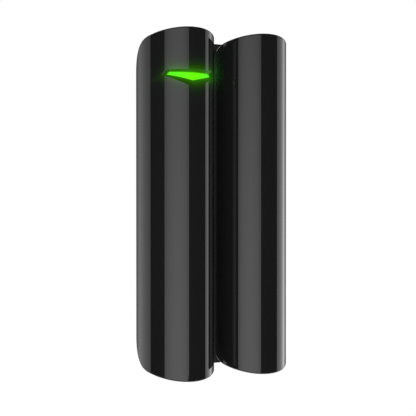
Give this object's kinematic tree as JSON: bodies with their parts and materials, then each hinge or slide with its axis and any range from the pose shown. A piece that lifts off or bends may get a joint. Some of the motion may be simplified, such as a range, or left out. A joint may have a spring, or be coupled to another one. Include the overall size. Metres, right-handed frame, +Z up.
{
  "type": "door contact sensor",
  "caption": "Two-column wireless door contact: detector with lamp, cell, board and reed switches, and its magnet, each hooked on a wall plate.",
  "frame": {"origin": "centre of the detector column's line on the wall face of its mounting bracket, at the column's mid height", "axes": "+Z up along the columns, +Y into the wall, +X from the detector towards the magnet; the round fronts face -Y"},
  "size_m": [0.0435, 0.021, 0.09],
  "materials": {
    "gloss_black": "polished moulded black plastic",
    "satin_black": "fine-grained moulded black plastic",
    "lamp_green": "lit green translucent plastic",
    "board_green": "green solder mask over glass laminate",
    "zinc_steel": "zinc-plated steel",
    "tinned_steel": "tin-plated steel sheet",
    "nickel": "nickel-plated spring steel",
    "reed_metal": "bare iron-nickel alloy",
    "reed_glass": "pale green sealed glass",
    "lamp_white": "white moulded lamp body",
    "chip_black": "moulded black epoxy",
    "ceramic_tan": "fired ceramic with tinned ends",
    "gilt_brass": "gilt wire",
    "cell_sleeve": "film-wrapped metal can",
    "plunger_white": "natural slippery plastic",
    "button_grey": "soft grey moulded plastic",
    "terminal_green": "moulded green plastic",
    "cradle_grey": "light grey moulded plastic",
    "magnet_nickel": "nickel-plated magnet",
    "foam_grey": "open-cell foam"
  },
  "bodies": {
    "bracket": {"mounting_bracket": "satin_black"},
    "detector": {"rear_tray": "satin_black", "circuit_board": "board_green", "board_screws": "zinc_steel", "lamp_chip": "lamp_white", "processor_chip": "chip_black", "radio_shield": "tinned_steel", "timing_crystal": "tinned_steel", "chip_parts": "ceramic_tan", "antenna_coil": "gilt_brass", "main_reed_glass": "reed_glass", "main_reed_leads": "reed_metal", "guard_reed_glass": "reed_glass", "guard_reed_leads": "reed_metal", "cell": "cell_sleeve", "cell_spring": "nickel", "cell_plate": "nickel", "cell_strap": "nickel", "tamper_switch": "chip_black", "tamper_spring": "nickel", "power_switch": "chip_black", "power_dome": "nickel", "terminal_block": "terminal_green", "terminal_pins": "tinned_steel"},
    "cover": {"front_cover": "gloss_black", "lamp_lens": "lamp_green"},
    "tamper": {"tamper_plunger": "plunger_white"},
    "power": {"power_button": "button_grey"},
    "main_reed": {"main_reed_blade": "reed_metal"},
    "guard_reed": {"guard_reed_blade": "reed_metal"},
    "magnet_mount": {"magnet_plate": "satin_black"},
    "magnet": {"magnet_tray": "satin_black", "magnet_cover": "gloss_black", "magnet_cradle": "cradle_grey", "bar_magnet": "magnet_nickel", "foam_pad": "foam_grey", "cradle_screws": "zinc_steel"}
  },
  "joints": [
    {"name": "detector_lift", "type": "slide", "parent": "bracket", "child": "detector", "axis": [0, 0, 1], "range_m": [0, 0.005]},
    {"name": "cover_pull", "type": "slide", "parent": "detector", "child": "cover", "axis": [0, -1, 0], "range_m": [0, 0.024]},
    {"name": "tamper_press", "type": "slide", "parent": "detector", "child": "tamper", "axis": [0, -1, 0], "range_m": [0, 0.0004], "stiffness_N_per_m": 150, "springref_m": -0.0008, "deforming": ["tamper_spring"]},
    {"name": "power_press", "type": "slide", "parent": "detector", "child": "power", "axis": [0, -1, 0], "range_m": [0, 0.0003], "stiffness_N_per_m": 400, "springref_m": -0.0003, "deforming": ["power_dome"]},
    {"name": "main_reed_open", "type": "hinge", "parent": "detector", "child": "main_reed", "pos_m": [0.00679, -0.0128, 0.015], "axis": [0, -1, 0], "range_deg": [0, 1]},
    {"name": "guard_reed_close", "type": "hinge", "parent": "detector", "child": "guard_reed", "pos_m": [-0.007, -0.0128, 0.015], "axis": [0, 1, 0], "range_deg": [0, 1]},
    {"name": "magnet_travel", "type": "slide", "parent": "bracket", "child": "magnet_mount", "axis": [1, 0, 0], "range_m": [0, 0.05]},
    {"name": "magnet_lift", "type": "slide", "parent": "magnet_mount", "child": "magnet", "axis": [0, 0, 1], "range_m": [0, 0.005]}
  ]
}
